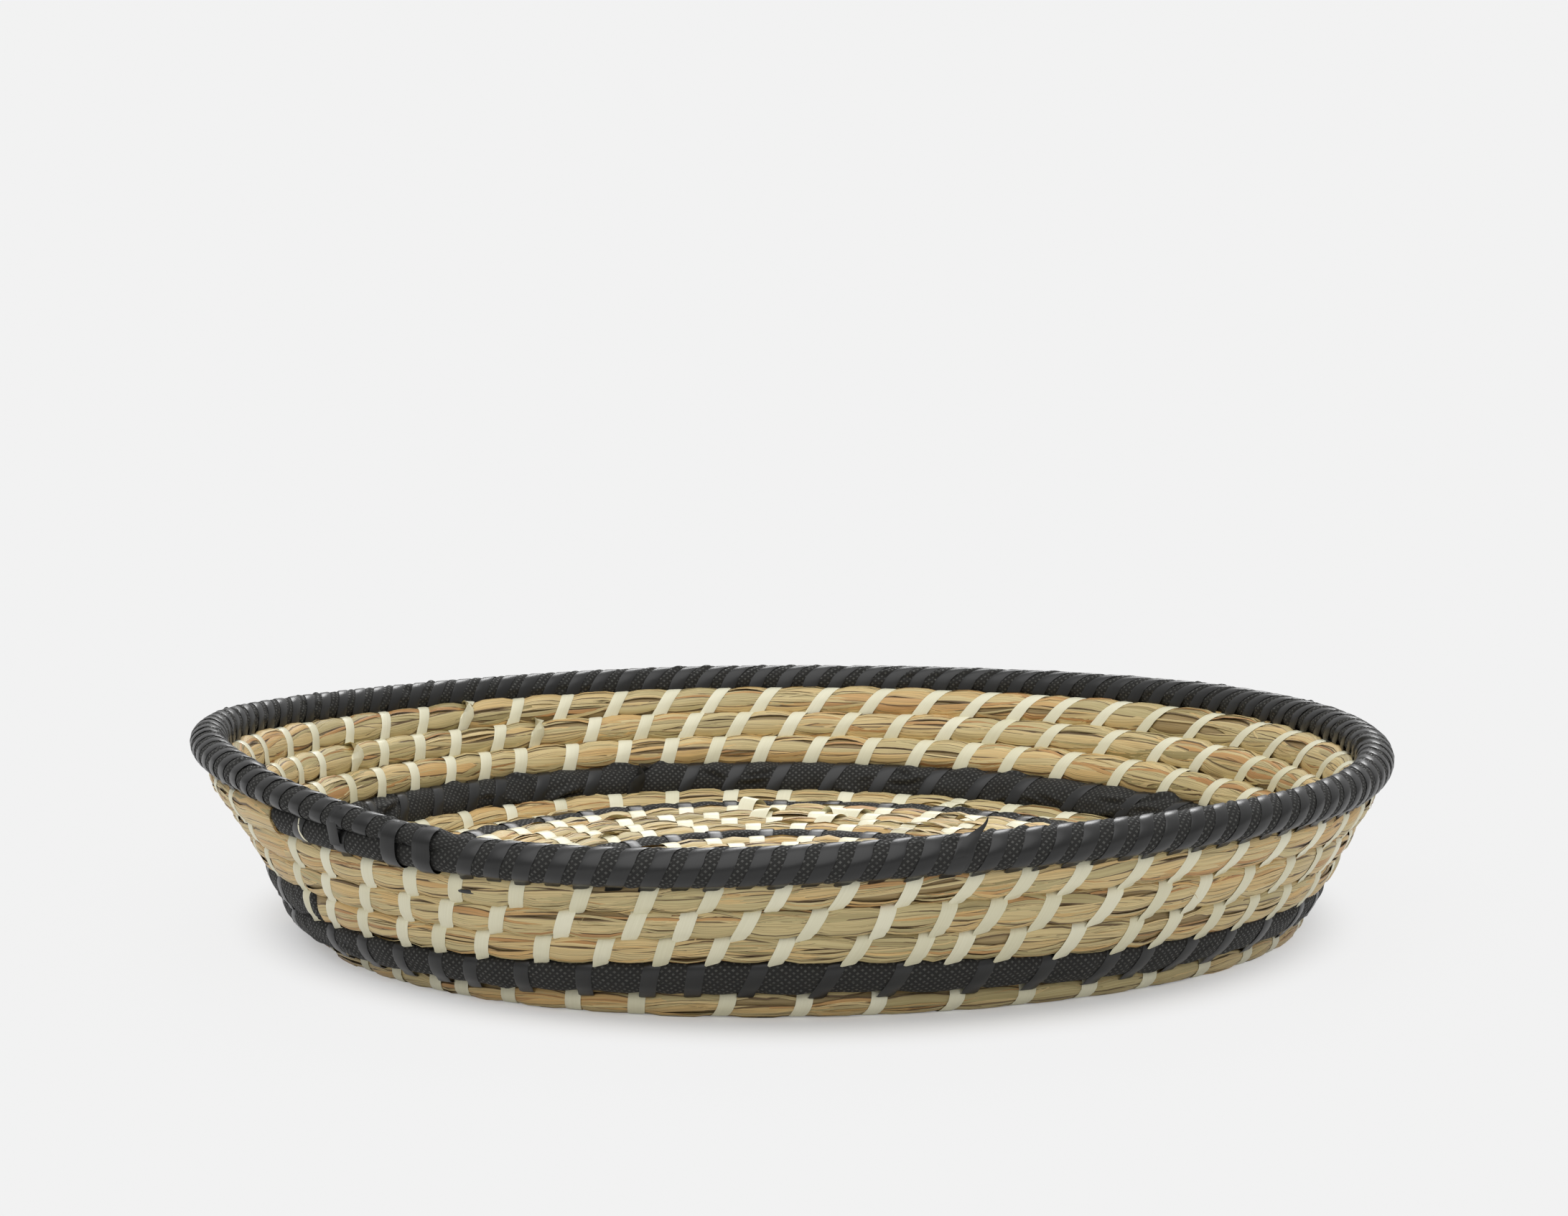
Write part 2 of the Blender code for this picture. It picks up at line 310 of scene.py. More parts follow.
STITCHES = {"rim": evenly(5.0265, 5.07, 24, 0.05) + evenly(5.0865, RIM_END - 0.012, 11.5, 0.07)}
for row, apart in ((4, 22.8), (3, 22.8), (2, 22.8), (1, 22.4), (0, 25.5)):
    STITCHES[row] = placed(row, apart)
# the black row starts before its whole turn does, and its stitches there are black
STITCHES[1] += [turn for turn in STITCHES[0] if turn > BAND_START]
STITCHES[0] = [turn for turn in STITCHES[0] if turn <= BAND_START]
STITCHES["edge_in"] = evenly(-1.0, -0.005, 21.5, 0.12)
STITCHES["outer_ring"] = evenly(-2.0, -1.005, 21.0, 0.10)
STITCHES["middle"] = evenly(-6.0, -2.005, 20.5, 0.14)
STITCHES["inner_ring"] = evenly(-7.0, -6.005, 20.5, 0.10)
STITCHES["centre"] = evenly(START_TURN + 0.8, -7.01, 20.0, 0.14)
ALL_STITCHES = np.array(sorted(sum(STITCHES.values(), [])))

# Between two straps the bundle bulges by this much, more on its inner side. Each strap presses it in, fully
# up to PRESSED_TO along the row from the strap's middle, and less and less up to EASED_BY.
PUFF = rng.uniform(0.1, 0.4, len(ALL_STITCHES) + 1)
PUFF_INSIDE, PUFF_OUTSIDE = 1.15, 0.8
PRESSED_TO, EASED_BY, RIM_EASED_BY = 2.7, 8.5, 5.4
PRESSED_IN = 0.14


def swell(turn, phi):
    """How far the bundle bulges here, and from 0 to 1 how far a strap holds it."""
    lean = lean_of(turn, phi)
    around = circumference(turn)
    after = np.searchsorted(ALL_STITCHES, turn - lean / around)
    held = np.zeros(np.broadcast(turn, phi).shape)
    eased_by = np.where(turn >= RIM_ROW, RIM_EASED_BY, EASED_BY)
    for side in (-1, 0):
        near = ALL_STITCHES[np.clip(after + side, 0, len(ALL_STITCHES) - 1)]
        off = np.abs((turn - near) * around - lean)
        far = np.clip((off - PRESSED_TO) / (eased_by - PRESSED_TO), 0, 1)
        held = np.maximum(held, 1 - far * far * (3 - 2 * far))
    inside = np.where(np.cos(phi) < 0, PUFF_INSIDE, PUFF_OUTSIDE)
    puff = PUFF[np.clip(after, 0, len(PUFF) - 1)] * inside
    return puff * (1 - held) - PRESSED_IN * held, held


def section(turn):
    """The bundle's section: its middle, the way up the stack, the way out, and its form."""
    r, z = middle(turn)
    angle = np.interp(turn, TURNS, STACK)
    azimuth = CHANGE_AZIMUTH + 2 * math.pi * turn
    flat = np.stack([np.cos(azimuth), np.sin(azimuth), np.zeros_like(azimuth)], -1)
    up = np.array([0.0, 0.0, 1.0])
    stack = flat * np.cos(angle)[..., None] + up * np.sin(angle)[..., None]
    out = flat * np.sin(angle)[..., None] - up * np.cos(angle)[..., None]
    return flat * r[..., None] + up * z[..., None], stack, out, form_at(turn)


# Leaves and straps stay this far above the floor
LEAF_FLOOR, STRAP_FLOOR = 0.06, 0.05


def skin(turn, phi, lift):
    """A point on the bundle's skin, or this far above it."""
    spot, stack, out, form = section(turn)
    far = reach(form, phi) + lift
    point = spot + stack * (far * np.sin(phi))[..., None] + out * (far * np.cos(phi))[..., None]
    point[..., 2] = np.maximum(point[..., 2], LEAF_FLOOR)
    return point


# Making meshes


def deselect():
    for item in bpy.context.selected_objects:
        item.select_set(False)


def finish_piece(item, name, finish, smooth, nodes=()):
    """Name, material, smooth shading up to this angle or all over, and what it rides on and stands for."""
    material, slot = finish
    item.name = item.data.name = name
    item.data.materials.clear()
    item.data.materials.append(material)
    item.data.shade_smooth()
    if smooth:
        item.data.set_sharp_from_angle(angle=math.radians(smooth))
    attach(item, "root")
    if nodes:
        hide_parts(*nodes)


def distances(line):
    """How far along a line each of its points lies."""
    return np.concatenate([[0], np.cumsum(np.linalg.norm(np.diff(line, axis=0), axis=1))])


def wound_sheet(name, points, finish, nodes):
    """A sheet of cloth or straw closed round the bundle: points along it by points round it."""
    deselect()
    rows, count = points.shape[:2]
    bpy.ops.mesh.primitive_grid_add(x_subdivisions=count, y_subdivisions=rows - 1, size=1)
    item = bpy.context.object
    closed = np.concatenate([points, points[:, :1]], axis=1)
    item.data.vertices.foreach_set("co", (closed * MM).ravel())
    length = distances(points[:, 0])
    girth = distances(closed[rows // 2])
    corners = np.empty(len(item.data.loops), dtype=np.int64)
    item.data.loops.foreach_get("vertex_index", corners)
    uv = np.stack([length[corners // (count + 1)], girth[corners % (count + 1)]], -1)
    item.data.uv_layers[0].data.foreach_set("uv", uv.ravel())
    bpy.ops.object.mode_set(mode="EDIT")
    bpy.ops.mesh.select_all(action="SELECT")
    bpy.ops.mesh.remove_doubles(threshold=1e-7)
    bpy.ops.mesh.select_all(action="DESELECT")
    bpy.ops.mesh.select_mode(type="EDGE")
    bpy.ops.mesh.select_non_manifold()
    bpy.ops.mesh.fill_holes(sides=0)
    bpy.ops.mesh.select_all(action="SELECT")
    bpy.ops.mesh.normals_make_consistent(inside=False)
    bpy.ops.object.mode_set(mode="OBJECT")
    finish_piece(item, name, finish, 0, nodes)
    return item


# Round a strip with thin edges, corner by corner: where each corner lies across it and up
STRIP_ACROSS = {4: (1, 0, -1, 0), 6: (1, 0.74, -0.74, -1, -0.74, 0.74),
                8: (1, 0.6, 0, -0.6, -1, -0.6, 0, 0.6)}
STRIP_UP = {4: (0, 1, 0, -1), 6: (0, 1, 1, 0, -1, -1), 8: (0, 1, 1, 1, 0, -1, -1, -1)}


def flat_blank(sides, cuts):
    """A flat strip, a bar of 4, 6 or 8 sides, cut across: where its corners lie, along it from 0 to 1, across
    it and up from -1 to 1, and its faces."""
    deselect()
    bpy.ops.mesh.primitive_cylinder_add(vertices=sides, radius=1, depth=2, end_fill_type="NGON",
                                        calc_uvs=False)
    item = bpy.context.object
    for edge in item.data.edges:
        a, b = (item.data.vertices[i].co for i in edge.vertices)
        edge.select = abs(a.z - b.z) > 1
    for face in item.data.polygons:
        face.select = False
    bpy.context.tool_settings.mesh_select_mode = (False, True, False)
    bpy.ops.object.mode_set(mode="EDIT")
    bpy.ops.mesh.subdivide(number_cuts=cuts)
    bpy.ops.object.mode_set(mode="OBJECT")
    spots = np.empty(len(item.data.vertices) * 3)
    item.data.vertices.foreach_get("co", spots)
    spots = spots.reshape(-1, 3)
    corner = np.round(np.degrees(np.arctan2(spots[:, 0], spots[:, 1])) * sides / 360).astype(int) % sides
    across = np.array(STRIP_ACROSS[sides])[corner]
    up = np.array(STRIP_UP[sides])[corner]
    faces = [list(face.vertices) for face in item.data.polygons]
    bpy.data.objects.remove(item, do_unlink=True)
    return (spots[:, 2] + 1) / 2, across, up, faces


def strips(name, blank, laid, tones, spots_uv, finish, smooth, nodes=()):
    """One mesh of many strips: the blank's corners laid out for each of them."""
    across, faces = blank[1], blank[3]
    laid = np.asarray(laid)
    count, corners = laid.shape[:2]
    # the faces are turned round where the laying out has mirrored the blank
    first = laid[0] - laid[0].mean(0)
    volume = sum(np.dot(first[face[0]], np.cross(first[face[i]], first[face[i + 1]]))
                 for face in faces for i in range(1, len(face) - 1))
    turned = [face if volume > 0 else face[::-1] for face in faces]
    sizes = np.array([len(face) for face in turned])
    flat = np.concatenate([np.array(face) for face in turned])
    data = bpy.data.meshes.new(name)
    data.vertices.add(count * corners)
    data.vertices.foreach_set("co", (laid * MM).ravel())
    loops = (flat[None] + (np.arange(count) * corners)[:, None]).ravel()
    data.loops.add(len(loops))
    data.loops.foreach_set("vertex_index", loops.astype(np.int32))
    totals = np.tile(sizes, count)
    data.polygons.add(len(totals))
    data.polygons.foreach_set("loop_start", np.concatenate([[0], np.cumsum(totals)[:-1]]).astype(np.int32))
    data.polygons.foreach_set("loop_total", totals.astype(np.int32))
    data.update(calc_edges=True)
    data.validate()
    layer = data.uv_layers.new(name="UVMap")
    layer.data.foreach_set("uv", np.asarray(spots_uv).reshape(-1, 2)[loops].ravel())
    tone = data.attributes.new("tone", "FLOAT", "POINT")
    tone.data.foreach_set("value", np.repeat(tones, corners).astype(np.float32))
    edge = data.attributes.new("edge", "FLOAT", "POINT")
    edge.data.foreach_set("value", np.tile(across, count).astype(np.float32))
    item = bpy.data.objects.new(name, data)
    bpy.context.scene.collection.objects.link(item)
    finish_piece(item, name, finish, smooth, nodes)


# Finishes


class Nodes:
    """A tree of nodes under construction, with short words for them."""

    def __init__(self, owner):
        owner.use_nodes = True
        self.tree = owner.node_tree

    def node(self, kind, settings=None, **sockets):
        made = self.tree.nodes.new(kind)
        for key, value in (settings or {}).items():
            setattr(made, key, value)
        for key, value in sockets.items():
            self.put(made.inputs[key.replace("_", " ")], value)
        return made

    def put(self, socket, value):
        if isinstance(value, bpy.types.NodeSocket):
            self.tree.links.new(value, socket)
        else:
            socket.default_value = value

    def maths(self, operation, a, b=0.0, c=0.0):
        made = self.node("ShaderNodeMath", {"operation": operation})
        for socket, value in zip(made.inputs, (a, b, c)):
            self.put(socket, value)
        return made.outputs[0]

    def stretched(self, vector, scale):
        return self.node("ShaderNodeMapping", Vector=vector, Scale=scale).outputs[0]

    def noise(self, vector, scale, detail, roughness=0.5):
        return self.node("ShaderNodeTexNoise", Vector=vector, Scale=scale, Detail=detail,
                         Roughness=roughness).outputs["Fac"]

    def ramp(self, value, stops):
        made = self.node("ShaderNodeValToRGB", Fac=value)
        line = made.color_ramp
        while len(line.elements) < len(stops):
            line.elements.new(0.5)
        for element, (place, colour) in zip(line.elements, stops):
            element.position = place
            element.color = (*colour, 1)
        return made.outputs["Color"]

    def mix(self, share, a, b, blend="MIX"):
        made = self.node("ShaderNodeMix", {"data_type": "RGBA", "blend_type": blend}, Factor=share)
        for socket, value in ((made.inputs["A"], a), (made.inputs["B"], b)):
            self.put(socket, value if isinstance(value, bpy.types.NodeSocket) else (*value, 1))
        return made.outputs["Result"]


class Material(Nodes):
    """A material under construction."""

    def __init__(self, name, roughness):
        self.material = bpy.data.materials.new(name)
        super().__init__(self.material)
        self.shader = self.tree.nodes["Principled BSDF"]
        self.rough(roughness)

    def along(self):
        return self.node("ShaderNodeUVMap", {"uv_map": "UVMap"}).outputs[0]

    def given(self, name):
        return self.node("ShaderNodeAttribute", {"attribute_name": name}).outputs["Fac"]

    def colour(self, value):
        self.put(self.shader.inputs["Base Color"], value)

    def bump(self, height, distance, strength):
        made = self.node("ShaderNodeBump", Height=height, Distance=distance, Strength=strength)
        self.put(self.shader.inputs["Normal"], made.outputs["Normal"])

    def rough(self, value):
        self.put(self.shader.inputs["Roughness"], value)


def srgb(*colour):
    return tuple(((c / 255 + 0.055) / 1.055) ** 2.4 if c > 10 else c / 255 / 12.92 for c in colour)


def grey(value):
    return (value,) * 3


BLACK, WHITE = grey(0), grey(1)


def straw_finish(name, dark):
    """Dry sedge leaf: fine veins, painted shadow lines in the gaps between its fibres, painted shade along
    its thin edges, its own colour from rust to green-grey, and all of it darker by this factor, which paints
    shade."""
    f = Material(name, 0.5)
    uv = f.along()
    tone = f.given("tone")
    edge = f.given("edge")
    veins = f.noise(f.stretched(uv, (0.02, 1.9, 1)), 1.0, 4.0, 0.6)
    lines = f.noise(f.stretched(uv, (0.014, 5.2, 1)), 1.0, 2.0)
    patch = f.noise(f.stretched(uv, (0.03, 0.2, 1)), 1.0, 2.0)
    shade = f.maths("MULTIPLY_ADD", f.maths("SUBTRACT", patch, 0.5), 0.35, tone)
    rust, tan, straw = srgb(186, 134, 78), srgb(210, 162, 102), srgb(228, 190, 124)
    pale, green_grey, deep = srgb(228, 206, 150), srgb(205, 190, 138), srgb(162, 148, 98)
    leaf = f.ramp(shade, [(0.0, rust), (0.13, tan), (0.3, straw), (0.55, pale), (0.78, green_grey),
                          (1.0, deep)])
    veined = f.mix(f.ramp(veins, [(0.34, grey(0.55)), (0.56, BLACK)]), leaf, srgb(158, 130, 82))
    # painted shadow: thin dark lines along the leaf stand in for the shadow in the gaps between its fibres
    gap_shadowed = f.mix(f.ramp(lines, [(0.32, grey(0.75)), (0.385, BLACK)]), veined, srgb(94, 68, 36))
    worn = f.mix(f.ramp(lines, [(0.6, BLACK), (0.75, grey(0.4))]), gap_shadowed, srgb(232, 218, 174))
    # painted shade: each leaf darkens towards its edges, standing in for the shadow along them
    to_edge = f.maths("MULTIPLY_ADD", patch, 0.25, f.maths("ABSOLUTE", edge))
    edge_shaded = f.mix(f.ramp(to_edge, [(0.91, BLACK), (1.04, grey(0.9))]), worn, srgb(88, 64, 34))
    # painted shade: a factor below 1 darkens the whole leaf
    f.colour(f.mix(1.0, edge_shaded, grey(dark), "MULTIPLY") if dark < 1 else edge_shaded)
    f.bump(f.maths("ADD", veins, f.maths("MULTIPLY", lines, 0.5)), 0.00022, 0.6)
    f.rough(f.maths("MULTIPLY_ADD", veins, 0.25, 0.36))
    return f.material


def strap_finish(name, low, high, roughness):
    """A flat strip of palm leaf: faint veins along it, and a shade between two colours."""
    f = Material(name, roughness)
    uv = f.along()
    veins = f.noise(f.stretched(uv, (0.03, 1.6, 1)), 1.0, 3.0)
    tone = f.given("tone")
    shade = f.maths("MULTIPLY_ADD", f.maths("SUBTRACT", veins, 0.5), 0.6, tone)
    f.colour(f.ramp(shade, [(0.0, low), (1.0, high)]))
    f.bump(veins, 0.00006, 0.35)
    f.rough(f.maths("MULTIPLY_ADD", veins, 0.08, roughness - 0.04))
    return f.material


def fabric_finish(name):
    """Pressed black cloth with a lattice of small raised diamonds."""
    f = Material(name, 0.8)
    uv = f.along()
    wander = f.node("ShaderNodeTexNoise", Vector=uv, Scale=0.12, Detail=2.0).outputs["Color"]
    drift = f.node("ShaderNodeVectorMath", {"operation": "MULTIPLY_ADD"})
    f.put(drift.inputs[0], wander)
    drift.inputs[1].default_value = (1.6, 1.6, 0)
    f.put(drift.inputs[2], uv)
    split = f.node("ShaderNodeSeparateXYZ", Vector=drift.outputs[0])
    # a diamond is 2.8 mm long and 2.3 mm wide
    run, round_it = f.maths("DIVIDE", split.outputs["X"], 2.8), f.maths("DIVIDE", split.outputs["Y"], 2.3)
    sides = [f.maths("ABSOLUTE", f.maths("SUBTRACT", f.maths("FRACT", f.maths(way, run, round_it)), 0.5))
             for way in ("ADD", "SUBTRACT")]
    fuzz = f.noise(uv, 3.5, 3.0, 0.6)
    worn = f.noise(uv, 0.55, 2.0)
    far = f.maths("ADD", f.maths("MAXIMUM", *sides), f.maths("MULTIPLY_ADD", fuzz, 0.16, -0.08))
    dots = f.node("ShaderNodeMapRange", {"clamp": True}, Value=far, From_Min=0.27, From_Max=0.18).outputs[0]
    dots = f.maths("MULTIPLY", dots, f.ramp(worn, [(0.3, grey(0.35)), (0.6, WHITE)]))
    dark = f.mix(fuzz, srgb(20, 20, 19), srgb(37, 36, 33))
    light = f.mix(fuzz, srgb(50, 50, 47), srgb(88, 88, 83))
    f.colour(f.mix(dots, dark, light))
    f.bump(f.maths("MULTIPLY_ADD", fuzz, 0.35, f.maths("MULTIPLY", dots, -0.5)), 0.0003, 0.9)
    f.rough(f.maths("MULTIPLY_ADD", dots, -0.42, 0.84))
    return f.material


# Each finish is a material and its slot
STRAW = straw_finish("dry_straw", 1), "dried_grass"
# painted shade: the core's straw is darkened to stand in for the shade in the gaps between the leaves
SHADED_CORE_STRAW = straw_finish("core_straw_painted_shade", 0.55), "dried_grass"
CREAM = strap_finish("cream_palm_strap", srgb(222, 216, 180), srgb(247, 243, 216), 0.38), "cream_palm"
BLACK_STRAP = strap_finish("black_palm_strap", srgb(13, 13, 13), srgb(33, 33, 32), 0.33), "black_strap"
CLOTH = fabric_finish("black_pressed_cloth"), "black_fabric"


def sheet_grid(first, last, step, around):
    """Turns and angles of a sheet's points: rings this far apart, with this many points in each."""
    steps = int((last - first) * circumference((first + last) / 2) / step)
    turns = np.linspace(first, last, steps + 1)
    return np.meshgrid(turns, np.linspace(0, 2 * math.pi, around + 1)[:-1], indexing="ij")


CORE_STEP, CORE_SUNK = 3.0, 0.4  # from ring to ring, and how far the core lies under the bundle's skin


def core(name, first, last, nodes):
    """The bundle's core, a tube under its leaves, darkened as painted shade for the gaps between them."""
    t, phi = sheet_grid(first, last, CORE_STEP, 16)
    bulge = swell(t, phi)[0]
    item = wound_sheet(name, skin(t, phi, bulge - CORE_SUNK), SHADED_CORE_STRAW, nodes)
    tone = item.data.attributes.new("tone", "FLOAT", "POINT")
    tone.data.foreach_set("value", np.full(len(item.data.vertices), 0.4, dtype=np.float32))


def slow(turn, seed):
    """A slow random wave along the spiral."""
    return sum(share * np.sin(2 * math.pi * (n * turn + (seed * 0.37 * n) % 1))
               for n, share in ((3.1, 0.4), (7.3, 0.28), (17.7, 0.2), (41.0, 0.14)))


LEAF_PIECES = 12  # along a leaf, half of them from one strap to the next
GAP = np.array([0, 0.13, 0.3, 0.5, 0.7, 0.87])  # where those pieces start between two straps
NARROW, BROAD = flat_blank(4, LEAF_PIECES - 1), flat_blank(8, LEAF_PIECES - 1)
STITCH = flat_blank(6, 21)
BUNDLE_RADIUS = 6.9
LEAF_LENGTH = 42  # on average
SPREAD = 900


def finish_spots(along, across, size=None):
    """Where strips take their finish from: each from its own spot in a field SPREAD wide."""
    return np.stack([along + rng.uniform(0, SPREAD, size), across + rng.uniform(0, SPREAD, size)], -1)


def leaves(name, first, last, sides, cover, widths, blank, layers=(0.0, 0.3), curl=0.06, rust=0.0, free=0.12,
           sweep=3.5):
    """Flat leaves laid along a stretch of the bundle, each from one strap to the next but one: how often
    they cover it, their widths and heights, and how much they curl, are rusty, end early or run aslant."""
    along, across, up = (part[None] for part in blank[:3])
    ring = np.round(along * LEAF_PIECES).astype(int)
    gap = GAP[ring % len(GAP)]
    ties = ALL_STITCHES[(ALL_STITCHES > first + 1e-4) & (ALL_STITCHES < last - 1e-4)]
    ties = np.concatenate([[first], ties, [last]])
    laid, tones, uvs = [], [], []
    for side_from, side_to in sides:
        area = (last - first) * circumference((first + last) / 2) * (side_to - side_from) * BUNDLE_RADIUS
        count = int(area * cover / (np.mean(widths) * LEAF_LENGTH))
        some = (count, 1)
        spots = first + (np.arange(count) + rng.uniform(size=count)) / count * (last - first)
        tie = (np.searchsorted(ties, spots) - 1 - rng.integers(0, 2, count))[:, None] + ring // len(GAP)
        here, after = (ties[np.clip(tie + step, 0, len(ties) - 1)] for step in (0, 1))
        turn = here + (after - here) * gap
        around = circumference(turn)
        size = (turn.max(1) - turn.min(1))[:, None] * around
        wide = rng.uniform(*widths, some)
        # some leaves end before their strap, in a point
        way = np.where(rng.uniform(size=some) < 0.5, along, 1 - along)
        tip = np.where(rng.uniform(size=some) < free, rng.uniform(0.6, 0.92, some), 2)
        taper = np.clip((tip - way) / 0.16, 0.03, 1) * (0.82 + 0.18 * np.sin(math.pi * (along * 2 % 1)))
        phi = side_from + (side_to - side_from) * rng.uniform(-0.02, 1.02, some)
        phi = phi + (along - 0.5) * size * np.tan(np.radians(rng.normal(1.5, sweep, some))) / BUNDLE_RADIUS
        phi = phi + rng.normal(0, 0.04, some) * np.sin(2 * math.pi * along)
        phi = np.clip(phi, side_from - 0.1, side_to + 0.1)
        # leaves draw together towards each strap
        tied = np.abs(np.cos(math.pi * gap)) ** 3
        centre = (side_from + side_to) / 2
        phi = centre + (phi - centre) * (1 - 0.14 * tied) + across * taper * wide / (2 * BUNDLE_RADIUS)
        turn = np.clip(turn + lean_of(turn, phi) / around, first, last) + 1e-5 * along
        bulge, press = swell(turn, phi)
        body = 0.12 * up + 0.08 * (1 - across ** 2) + rng.normal(0, curl, some) * across
        body = body + rng.uniform(*layers, some)
        body = body + 0.05 * np.sin(2 * math.pi * (along * 2 + rng.uniform(size=some)))
        # ends are tucked in
        ends = np.minimum(along, 1 - along) < 0.01
        tucked = np.where(ends, 0.2, 0) + np.where(way > tip, 0.8, 0)
        laid.append(skin(turn, phi, bulge + body * (1 - 0.75 * press) - tucked))
        tone = np.clip(0.57 + 0.24 * slow(spots, 3) + rng.normal(0, 0.16, count), 0.2, 1)
        tones.append(np.where(rng.uniform(size=count) < rust, rng.uniform(0, 0.14, count), tone))
        uvs.append(finish_spots(along * size, across * wide / 2, some))
    strips(name, blank, np.concatenate(laid), np.concatenate(tones), np.concatenate(uvs), STRAW, 60)


def dressed(name, first, last, sides, wild=1.0):
    """A stretch of the bundle's skin: broad leaves with some narrow ones on and between them."""
    leaves(name + "_broad_leaves", first, last, sides, cover=2.0, widths=(2.6, 7.0), blank=BROAD,
           layers=(0.0, 0.5 * wild), curl=0.1 * wild, rust=0.03, free=0.1 * wild, sweep=4.5 * wild)
    leaves(name + "_narrow_leaves", first, last, sides, cover=0.75, widths=(0.5, 2.0), blank=NARROW,
           layers=(0.1, 0.55 * wild), curl=0.12 * wild, rust=0.16, free=0.25, sweep=5 * wild)


# The degrees round the bundle at which a strap's line has its points, and how far above the skin it lies
STRAP_ANGLES = (-44, -30, -15, 0, 15, 30, 42, 52, 62, 75, 90, 105, 118, 128, 140, 155, 170, 185, 200, 214,
                226)
STRAP_LIFT = 0.2


def strap_path(form):
    """The line of a strap round a row's section, as points (up the stack, out): from the crease under the row
    on its outer side, over the top, to the crease on its inner side."""
    def on(angle):
        phi = math.radians(angle)
        far = reach(form, phi) + STRAP_LIFT
        return far * math.sin(phi), far * math.cos(phi)

    path = [on(angle) for angle in STRAP_ANGLES]
    start, end = path[0][1], path[-1][1]
    # at both ends it dives in between the rows
    foot = -form[0]
    outer = [(foot - 2.6, start - 3.1), (foot - 1.6, start - 1.1), (foot - 0.5, start - 0.05)]
    inner = [(foot - 0.3, end + 0.4), (foot - 1.1, end + 1.5), (foot - 2.0, end + 3.2)]
    return np.array(outer + path + inner)


THICKNESS = 0.34  # of a strap
SAME_STITCH = 0.004  # turns within which a place stands for a stitch
# Turns from the line of the colour change, and how much wider than usual the strips are there
UNEVEN = ((0, 0.14, 0.2, 0.26, 0.4, 0.5, 1), (-0.02, 0, -0.04, 0.1, 0.12, 0, -0.02))


def stitched(name, stitches, width, finish, nodes=(), cut=1.9, above=0.0, twists=(), uneven=1.0):
    """Straps round a row at each of its stitches. Their lower ends are cut aslant by this much."""
    along, across, up = STITCH[:3]
    laid, tones, uvs = [], [], []
    for turn in stitches:
        form = form_at(turn)
        path = strap_path(form)
        dist = distances(path)
        place = along * dist[-1]
        wide = width * rng.uniform(0.95, 1.05) * (1 + uneven * np.interp(turn % 1, *UNEVEN))
        # the lower ends stop on a slant: the edge further along the row stops higher up
        aslant = cut * np.clip(1 - along * 6, 0, 1) + 0.3 * cut * np.clip(along * 6 - 5, 0, 1)
        slant = -rng.uniform(0, 0.8) * np.clip(1 - along * 8, 0, 1) + across * aslant
        rise, out = (np.interp(place, dist, part) for part in path.T)
        way_up, way_out = (np.interp(place, dist, np.gradient(part, dist)) for part in path.T)
        size = np.hypot(way_up, way_out)
        more = math.tan(math.radians(rng.normal(0, 2.5)))
        lean = run_of(turn, rise, place > dist[-1] / 2) + more * rise
        if turn >= RIM_START:
            lean = lean + slant_of(turn) * (1 - np.clip(out / form[1], -1, 1))
        side = across * wide / 2
        lifted = above + THICKNESS / 2 * up + 0.09 * (1 - across ** 2) + rng.normal(0, 0.05) * across
        for at, (low, high) in twists:
            if abs(at - turn) < SAME_STITCH:
                # the strap turns over on itself once between these places along it
                share = np.clip((along - low) / (high - low), 0, 1)
                over = math.pi * (share * share * (3 - 2 * share))
                hump = np.sin(math.pi * share)
                lifted = above + up * THICKNESS / 2 + side * 0.8 * np.sin(over) + 2.0 * hump
                side = side * (1 + 0.15 * hump) * np.cos(over) + (up * THICKNESS + 1.2) * np.sin(over)
        spot, stack_way, out_way = section(turn + (lean + side) / circumference(turn))[:3]
        rise = rise + slant
        point = (spot + stack_way * (rise - way_out / size * lifted)[:, None]
                 + out_way * (out + way_up / size * lifted)[:, None])
        point[:, 2] = np.maximum(point[:, 2], STRAP_FLOOR)
        laid.append(point)
        tones.append(rng.uniform(0.35, 0.95))
        uvs.append(finish_spots(place, across * wide / 2))
    strips(name, STITCH, laid, tones, uvs, finish, 40, nodes)


CLOTH_EDGE, EDGE_WIDTH = 5.1, 0.35  # the angle round the bundle where the cloth's edge lies, and its width
KNOB_BACK, KNOB_LENGTH = 0.011, 0.006  # turns from the knob to the end, and half its length


